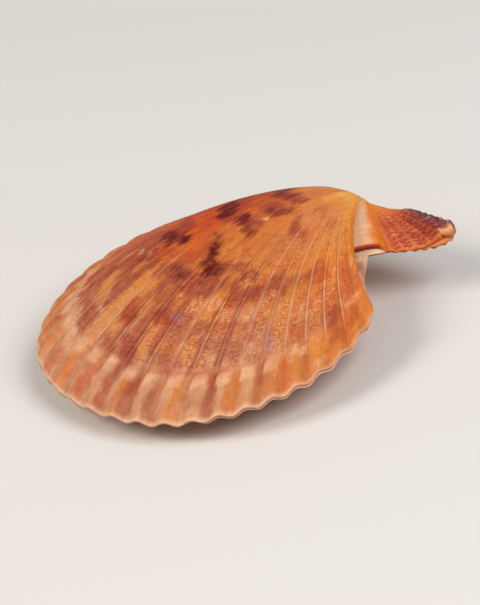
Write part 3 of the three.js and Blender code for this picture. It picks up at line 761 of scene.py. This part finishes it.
def outside_material(name, roughness):
    """Outside of a scallop: foliated calcite laid down in thin sheets at the lip and coloured as it
    was laid down. To the eye: a satin skin of fine growth lines and radial streaks, with rows of
    tiny scales along the ribs, some of them flecked with whitish painted glints."""
    material, tree = new_material(name)
    add = lambda kind, *inputs, **settings: add_node(tree, kind, *inputs, **settings)[0]
    times = lambda a, b: add("Math", a, b, operation="MULTIPLY")
    plus_scaled = lambda base, value, factor: add("Math", value, factor, base, operation="MULTIPLY_ADD")
    waves = lambda along, spacing: add("Math", times(along, 2 * math.pi / spacing), operation="SINE")
    ease = lambda value, *ends: add("MapRange", value, *ends, interpolation_type="SMOOTHSTEP")
    growth = add_node(tree, "Attribute", attribute_name="growth")["Vector"]
    axes = add_node(tree, "SeparateXYZ", growth)
    phase, along, sculpted = axes["X"], axes["Y"], axes["Z"]
    colour = add("Attribute", attribute_name="pigment")
    dark = add("Attribute", attribute_name="dots")
    place = add_node(tree, "TexCoord")["Object"]
    grain = add("TexNoise", named={"Vector": place, "Scale": GRAIN, "Detail": 3.0})
    cloud = add("TexNoise", named={"Vector": place, "Scale": CLOUDS, "Detail": 2.0})
    stretched = add("VectorMath", growth, (*STREAKS, 0.0), operation="MULTIPLY")
    streak = add("TexNoise", named={"Vector": stretched, "Scale": 1.0, "Detail": 2.0})
    line = waves(plus_scaled(along, cloud, 0.5), LINE_SPACING)

    # Beads in one row on both sides of each groove, with dark dots between them, partly red pigment
    # and partly painted shade in the pits. Where the dots are weak the beads have pale tips, a painted
    # highlight.
    away = add("Math", phase, 0.5, operation="PINGPONG")
    row = times(ease(away, 0.04, 0.08), ease(away, 0.17, 0.12))
    bead = waves(plus_scaled(along, grain, 0.15), BEAD_SPACING)
    dots = times(times(ease(bead, 0.3, -0.6), row), dark)
    pale = times(add("MapRange", dark, 0.7, 0.2, 0.0, 0.5), sculpted)
    pearl = times(times(ease(bead, -0.4, 0.5), row), pale)

    # Scales on the rest of the rib, as irregular cells with painted shade between them.
    spread = add("VectorMath", growth, (SCALES_ACROSS, 1 / SCALE_SPACING, 0.0), operation="MULTIPLY")
    cell = add(
        "TexVoronoi", named={"Vector": spread, "Scale": 1.0, "Randomness": 0.75}, voronoi_dimensions="2D"
    )
    crown = times(times(ease(away, 0.14, 0.2), sculpted), ease(cloud, 0.35, 0.6, 0.35, 1.0))
    scale = times(ease(cell, 0.5, 0.2), crown)
    gap = times(ease(cell, 0.35, 0.62), crown)

    # The relief in millimetres.
    height = 0.0
    for part, rise in (
        (dots, -0.02), (pearl, 0.05), (scale, 0.045), (line, 0.009), (streak, 0.02), (grain, 0.03)
    ):
        height = plus_scaled(height, part, rise)
    bump = add("Bump", named={"Height": height, "Strength": 1.0, "Distance": MM})

    # Pigment is denser in the streaks' troughs, and the scales' crowns get a painted highlight.
    shade = times(ease(grain, 0.3, 0.7, 0.92, 1.07), ease(streak, 0.3, 0.7, 0.93, 1.06))
    shade = times(shade, add("MapRange", line, -1.0, 1.0, 0.965, 1.03))
    shade = times(shade, add("MapRange", scale, 0.0, 1.0, 1.0, 1.12))
    tinted = add("VectorMath", colour, shade, operation="MULTIPLY")
    # Painted glints: whitish flecks where the grain is high on a scale.
    wear_and_glint = times(times(ease(grain, 0.6, 0.7), scale), 0.25)
    # Painted shade in the gaps between the scales and in the dots, a painted highlight on the bead tips,
    # then the painted glints.
    between, dot, bead_tip, whitish = "8A3A22", "642018", "EDB88A", "F2CFAE"
    for weight, code in ((times(gap, 0.48), between), (dots, dot), (pearl, bead_tip), (wear_and_glint, whitish)):
        # A Mix node's colours are its inputs 6 and 7 and its output 2.
        colours = {6: tinted, 7: (*linear(code), 1)}
        tinted = add_node(tree, "Mix", weight, named=colours, data_type="RGBA")[2]
    rough = add("MapRange", grain, 0.3, 0.75, roughness - 0.06, roughness + 0.12)
    shader = add("BsdfPrincipled", named={
        "Base Color": tinted, "Roughness": rough, "Normal": bump, "IOR": CALCITE_IOR,
        "Specular IOR Level": 0.15, "Subsurface Weight": 0.12, "Subsurface Radius": (1.0, 0.45, 0.25),
        "Subsurface Scale": 0.6 * MM,
    })
    add_node(tree, "OutputMaterial", shader)
    return material


def inside_material():
    """Inside of a scallop: calcite smoothed by the mantle. To the eye: porcelain with a soft gloss
    and faint lines of growth."""
    material, tree = new_material("smooth_inner_calcite")
    colour = add_node(tree, "Attribute", attribute_name="pigment")["Color"]
    place = add_node(tree, "TexCoord")["Object"]
    ripple = add_node(tree, "TexNoise", named={"Vector": place, "Scale": RIPPLE, "Detail": 2.0})[0]
    bump = add_node(tree, "Bump", named={"Height": ripple, "Strength": 0.3, "Distance": 0.1 * MM})[0]
    rough = add_node(tree, "MapRange", named={"Value": ripple, "To Min": 0.25, "To Max": 0.45})[0]
    shader = add_node(tree, "BsdfPrincipled", named={
        "Base Color": colour, "Roughness": rough, "Normal": bump, "IOR": CALCITE_IOR,
    })[0]
    add_node(tree, "OutputMaterial", shader)
    return material


# ---- making the pieces

def rest_turn():
    """From the shell's axes to the row frame's: rolled about Y, then pitched about X."""
    return Matrix.Rotation(REST_PITCH, 3, "X") @ Matrix.Rotation(REST_ROLL, 3, "Y")


def make_valve(which, name, sizes, tones, roughness):
    """One valve as a closed mesh that stands for its CAD node."""
    col, s, t, outer, inner = valve_surfaces(which, sizes)
    columns, rows, rungs = len(col.x), len(s), len(t)
    k_of_row = np.round(np.interp(s, [s[0], s[-1]], [0, rungs - 1])).astype(int)
    outside, inside, rims, sides = closed_faces(columns, rows, rungs, k_of_row)
    points = np.concatenate([outer.reshape(-1, 3), inner.reshape(-1, 3)])
    quads = np.concatenate([outside, rims, inside])
    if which == "lower":
        points = points * (1, 1, -1)
        quads, sides = quads[:, ::-1], sides[:, ::-1]
    # The ribs that the shell rests on are worn level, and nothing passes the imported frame's box.
    points = np.clip((points @ np.array(rest_turn()).T + BEAK) * MM, *np.array(CAD_BOUNDS))
    mesh = bpy.data.meshes.new(name)
    loops = np.concatenate([quads.ravel(), sides.ravel()])
    starts = np.concatenate([np.arange(len(quads)) * 4, len(quads) * 4 + np.arange(len(sides)) * 3])
    mesh.vertices.add(len(points))
    mesh.vertices.foreach_set("co", points.ravel().astype(np.float32))
    mesh.loops.add(len(loops))
    mesh.loops.foreach_set("vertex_index", loops.astype(np.int32))
    mesh.polygons.add(len(starts))
    mesh.polygons.foreach_set("loop_start", starts.astype(np.int32))
    mesh.polygons.foreach_set("use_smooth", np.ones(len(starts), bool))
    index = np.zeros(len(starts), np.int32)
    index[len(outside) + len(rims) : len(quads)] = 1
    mesh.polygons.foreach_set("material_index", index)
    mesh.update(calc_edges=True)
    mesh.validate()

    # Scales stand before the stop. On the ribs in between they start late, and behind they are
    # fainter.
    scaly = col.ribbed * span(s, 0.25, 0.45, STOP - 0.01, STOP)
    crowded = np.maximum(smooth(2, 4, col.rib) * smooth(0.38, 0.55, s), 1 - smooth(0.8, 1.6, col.rib))
    scales = scaly * np.maximum(smooth(0.5, 0.7, s), crowded) * (1 - 0.5 * smooth(9, 12, col.rib))
    growth = np.stack(np.broadcast_arrays(col.rib, s * DISC_HEIGHT, scales), -1)
    growth = np.concatenate([growth.reshape(-1, 3), np.zeros((columns * rungs, 3))])
    dots = by_groove(DARK_GROOVES, col.rib) * scaly
    dots = np.concatenate([dots.ravel(), np.zeros(columns * rungs)])
    tint = np.concatenate([
        outer_colours(col, s, which, sizes, tones).reshape(-1, 3),
        inner_colours(col, t, which, tones).reshape(-1, 3),
    ])
    tint = np.concatenate([np.clip(tint, 0, 1), np.ones((len(tint), 1))], -1)
    for key, kind, field, values in (
        ("growth", "FLOAT_VECTOR", "vector", growth),
        ("dots", "FLOAT", "value", dots),
        ("pigment", "FLOAT_COLOR", "color", tint),
    ):
        mesh.attributes.new(key, kind, "POINT").data.foreach_set(field, values.ravel())
    mesh.materials.append(outside_material("foliated_calcite_" + which, roughness))
    mesh.materials.append(inside_material())
    piece = bpy.data.objects.new(name + "_shell", mesh)
    bpy.context.scene.collection.objects.link(piece)
    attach(piece, "root")
    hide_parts(name)


# ---- add-on

def as_label(key):
    """The name that the sidebar shows for a key of a table."""
    return key.replace("_", " ").capitalize()


def length(name, description, default):
    """A length that is given in millimetres and shown in the scene's units."""
    return FloatProperty(
        name=name, description=description, default=default * MM, unit="LENGTH", precision=5, min=0
    )


def tone(name, description, code):
    """A linear colour from its sRGB hex code."""
    return FloatVectorProperty(
        name=name, description=description, default=linear(code), subtype="COLOR", size=3, min=0, max=1
    )


# Sizes of the sculpture: description, millimetres on the upper valve and on the lower one.
SIZES = {
    "rib_height": ("Crest over groove at the lip", 1.3, 0.8),
    "thread_height": ("Height of the thread in each groove", 0.08, 0.08),
    "ledge_height": ("Drop at the growth stop", 0.35, 0.35),
    "scale_length": ("Spacing of the scales on the long ear", 1.6, 1.6),
    "scale_height": ("Rise of each scale on the long ear", 0.35, 0.3),
    "crust_height": ("Roughness of the crust on the hinge edge", 0.25, 0.2),
}


class UpperSizes(bpy.types.PropertyGroup):
    __annotations__ = {key: length(as_label(key), text, upper) for key, (text, upper, _) in SIZES.items()}


class LowerSizes(bpy.types.PropertyGroup):
    __annotations__ = {key: length(as_label(key), text, lower) for key, (text, _, lower) in SIZES.items()}


# Colours of the shell: description and sRGB hex code.
PIGMENTS = {
    "beak": ("Smooth amber beak", "EDA850"),
    "young": ("Orange near the beak", "CC7038"),
    "disc": ("Orange of the middle of the disc", "C46F31"),
    "late": ("Tan before the growth stop", "BE7E59"),
    "margin": ("Pinkish tan after the growth stop", "B67A56"),
    "front": ("Light orange of the front ribs", "E2822A"),
    "side": ("Deep orange of the hind ribs", "C4561C"),
    "ember": ("Red-orange of the hind ribs near the beak", "C2320C"),
    "amber": ("Amber stripes", "D88C42"),
    "rust": ("Red-orange patches", "B03E18"),
    "mauve": ("Pinkish brown patches", "913C2D"),
    "plum": ("Dark purple-brown patches", "5A0507"),
    "violet": ("The few violet spots", "AC7272"),
    "cream": ("Cream patches and notch track", "DEAC84"),
    # Sand also paints a highlight on the crests after the stop.
    "sand": ("Pale tan of the last growth", "D09A74"),
    "ochre": ("Amber of the last growth", "C87434"),
    "rim": ("Whitish lip", "F2C9A2"),
    # The groove's tone also paints shade into the grooves after the stop, and partly into the lines beside
    # the threads.
    "groove": ("Lines beside the threads", "84382A"),
    "thread": ("Pinkish thread in each groove", "EDB48E"),
    "ear_base": ("Orange root of the long ear", "DB7A30"),
    "ear": ("Red-orange of the long ear", "B4462C"),
    "ear_net": ("Pale orange edges of the ear's scales", "E89060"),
    "ear_tip": ("Pale lip at the ear's tip", "E8A878"),
    "deep_red": ("Red of the ear towards the hinge", "7E2216"),
    "crust": ("Purple-grey crust of the hinge edge", "64363A"),
    # The crust's whitish lumps are painted glints.
    "crust_glint": ("Whitish lumps of the crust", "C8B4B0"),
    # Painted shade: the pinkish grey beside the notch.
    "flank_grey": ("Pinkish grey beside the notch", "D4A288"),
    # Painted shadow: the dark red inside the notch, in the gap under its lip.
    "slit": ("Dark red edge inside the notch", "A83418"),
    "inside": ("Porcelain of the inside", "F0E4DA"),
    "flush": ("Blush of the inside near the lip", "DDA68A"),
}


class Pigments(bpy.types.PropertyGroup):
    __annotations__ = {key: tone(as_label(key), *values) for key, values in PIGMENTS.items()}


def brightness(name, description, default, **settings):
    """How strong a light is."""
    return FloatProperty(name=name, description=description, default=default, min=0, **settings)


def section(kind, name, description):
    """A group of settings."""
    return PointerProperty(type=kind, name=name, description=description)


class Studio(bpy.types.PropertyGroup):
    floor: tone("Floor", "Pale floor", "D9D6D2")
    key: brightness("Key light", "Power of the large soft light", 7.4, unit="POWER")
    fill: brightness("Fill light", "Power of the light on the other side", 8.2, unit="POWER")
    room: brightness("Room light", "Strength of the even light from all round", 0.3)


class Scallop(bpy.types.PropertyGroup):
    upper: section(UpperSizes, "Upper valve", "Sizes of the upper valve's sculpture")
    lower: section(LowerSizes, "Lower valve", "Sizes of the lower valve's sculpture")
    pigments: section(Pigments, "Pigments", "Colours of the shell")
    studio: section(Studio, "Studio", "Floor and lights")


class SCALLOP_OT_right_valve(bpy.types.Operator):
    """Grow the right valve, which lies on top and has the notched ear"""

    bl_idname = "scallop.right_valve"
    bl_label = "Right valve"

    def execute(self, context):
        props = context.scene.scallop
        make_valve("upper", "right_valve", props.upper, props.pigments, 0.42)
        return {"FINISHED"}


class SCALLOP_OT_left_valve(bpy.types.Operator):
    """Grow the left valve, which lies underneath"""

    bl_idname = "scallop.left_valve"
    bl_label = "Left valve"

    def execute(self, context):
        props = context.scene.scallop
        make_valve("lower", "left_valve", props.lower, props.pigments, 0.46)
        return {"FINISHED"}


# The camera in the shell's own axes, from the photograph's perspective.
CAMERA_TURN = (54.2294, 33.7589, -17.5486)  # azimuth, elevation and roll in degrees
CAMERA_DISTANCE, CAMERA_AIM = 700, (0, -38, 0)
FRAME = (480, 605)  # pixels
FOCAL_PIXELS = 3552.2
AIM_OFFSET = (-4.571, 3.030)  # pixels right of and below the frame's centre
SENSOR = 36.0
FLOOR_HALF = 1.5  # metres, as are the lights' places
LIGHT_AIM = (0, 0, 0.01)


def light(name, place, size, power, code):
    """A square area light that faces the middle of the shell."""
    data = bpy.data.lights.new(name, "AREA")
    data.size = size
    data.energy = power
    data.color = linear(code)
    lamp = bpy.data.objects.new(name, data)
    turn = (Vector(LIGHT_AIM) - Vector(place)).to_track_quat("-Z", "Y")
    lamp.matrix_world = Matrix.Translation(place) @ turn.to_matrix().to_4x4()
    bpy.context.scene.collection.objects.link(lamp)


class SCALLOP_OT_stage(bpy.types.Operator):
    """Set the floor, the lights and the camera"""

    bl_idname = "scallop.stage"
    bl_label = "Stage"

    def execute(self, context):
        scene, studio = context.scene, context.scene.scallop.studio
        mesh = bpy.data.meshes.new("floor")
        corners = [(x * FLOOR_HALF, y * FLOOR_HALF, 0) for x, y in ((-1, -1), (1, -1), (1, 1), (-1, 1))]
        mesh.from_pydata(corners, [], [(0, 1, 2, 3)])
        floor = bpy.data.objects.new("floor", mesh)
        scene.collection.objects.link(floor)
        # Seamless paper: matt, with a tooth too fine to see.
        paper, tree = new_material("seamless_paper")
        matt = {"Base Color": (*studio.floor, 1), "Roughness": 0.9}
        add_node(tree, "OutputMaterial", add_node(tree, "BsdfPrincipled", named=matt)[0])
        mesh.materials.append(paper)

        azimuth, elevation, roll = np.radians(CAMERA_TURN)
        turn = rest_turn() @ Matrix.Rotation(azimuth, 3, "Z")
        turn = turn @ Matrix.Rotation(math.pi / 2 - elevation, 3, "X") @ Matrix.Rotation(roll, 3, "Z")
        aim = rest_turn() @ Vector(CAMERA_AIM) + Vector(BEAK)
        place = (aim + turn.col[2] * CAMERA_DISTANCE) * MM
        data = bpy.data.cameras.new("camera")
        data.sensor_width = SENSOR
        data.lens = FOCAL_PIXELS / max(FRAME) * SENSOR
        data.shift_x = -AIM_OFFSET[0] / max(FRAME)
        data.shift_y = AIM_OFFSET[1] / max(FRAME)
        data.clip_start = 0.01
        camera = bpy.data.objects.new("camera", data)
        camera.matrix_world = Matrix.Translation(place) @ turn.to_4x4()
        scene.collection.objects.link(camera)
        scene.camera = camera

        light("key", (-0.35, -0.7, 0.8), 0.5, studio.key, "FFF8F0")
        light("fill", (0.75, 0.05, 0.75), 0.6, studio.fill, "FFFFFF")
        world = bpy.data.worlds.new("studio")
        world.use_nodes = True
        background = world.node_tree.nodes["Background"].inputs
        background["Strength"].default_value = studio.room
        background["Color"].default_value = (1, 1, 1, 1)
        scene.world = world
        scene.view_settings.view_transform = "Standard"
        return {"FINISHED"}


class SCALLOP_PT_sidebar(bpy.types.Panel):
    """The shell's pieces and settings"""

    bl_idname = "SCALLOP_PT_sidebar"
    bl_label = "Scallop shell"
    bl_space_type = "VIEW_3D"
    bl_region_type = "UI"
    bl_category = "Scallop"

    def draw(self, context):
        props = context.scene.scallop
        for operator, group in (
            (SCALLOP_OT_right_valve, props.upper),
            (SCALLOP_OT_left_valve, props.lower),
            (SCALLOP_OT_stage, props.studio),
            (None, props.pigments),
        ):
            box = self.layout.box()
            if operator:
                box.operator(operator.bl_idname)
            for name in group.__annotations__:
                box.prop(group, name)


CLASSES = (
    UpperSizes, LowerSizes, Pigments, Studio, Scallop,
    SCALLOP_OT_right_valve, SCALLOP_OT_left_valve, SCALLOP_OT_stage, SCALLOP_PT_sidebar,
)


def register():
    for cls in CLASSES:
        bpy.utils.register_class(cls)
    bpy.types.Scene.scallop = PointerProperty(type=Scallop)


def unregister():
    del bpy.types.Scene.scallop
    for cls in reversed(CLASSES):
        bpy.utils.unregister_class(cls)


def main():
    register()
    bpy.ops.scallop.right_valve()
    bpy.ops.scallop.left_valve()
    bpy.ops.scallop.stage()


if __name__ == "__main__":
    main()
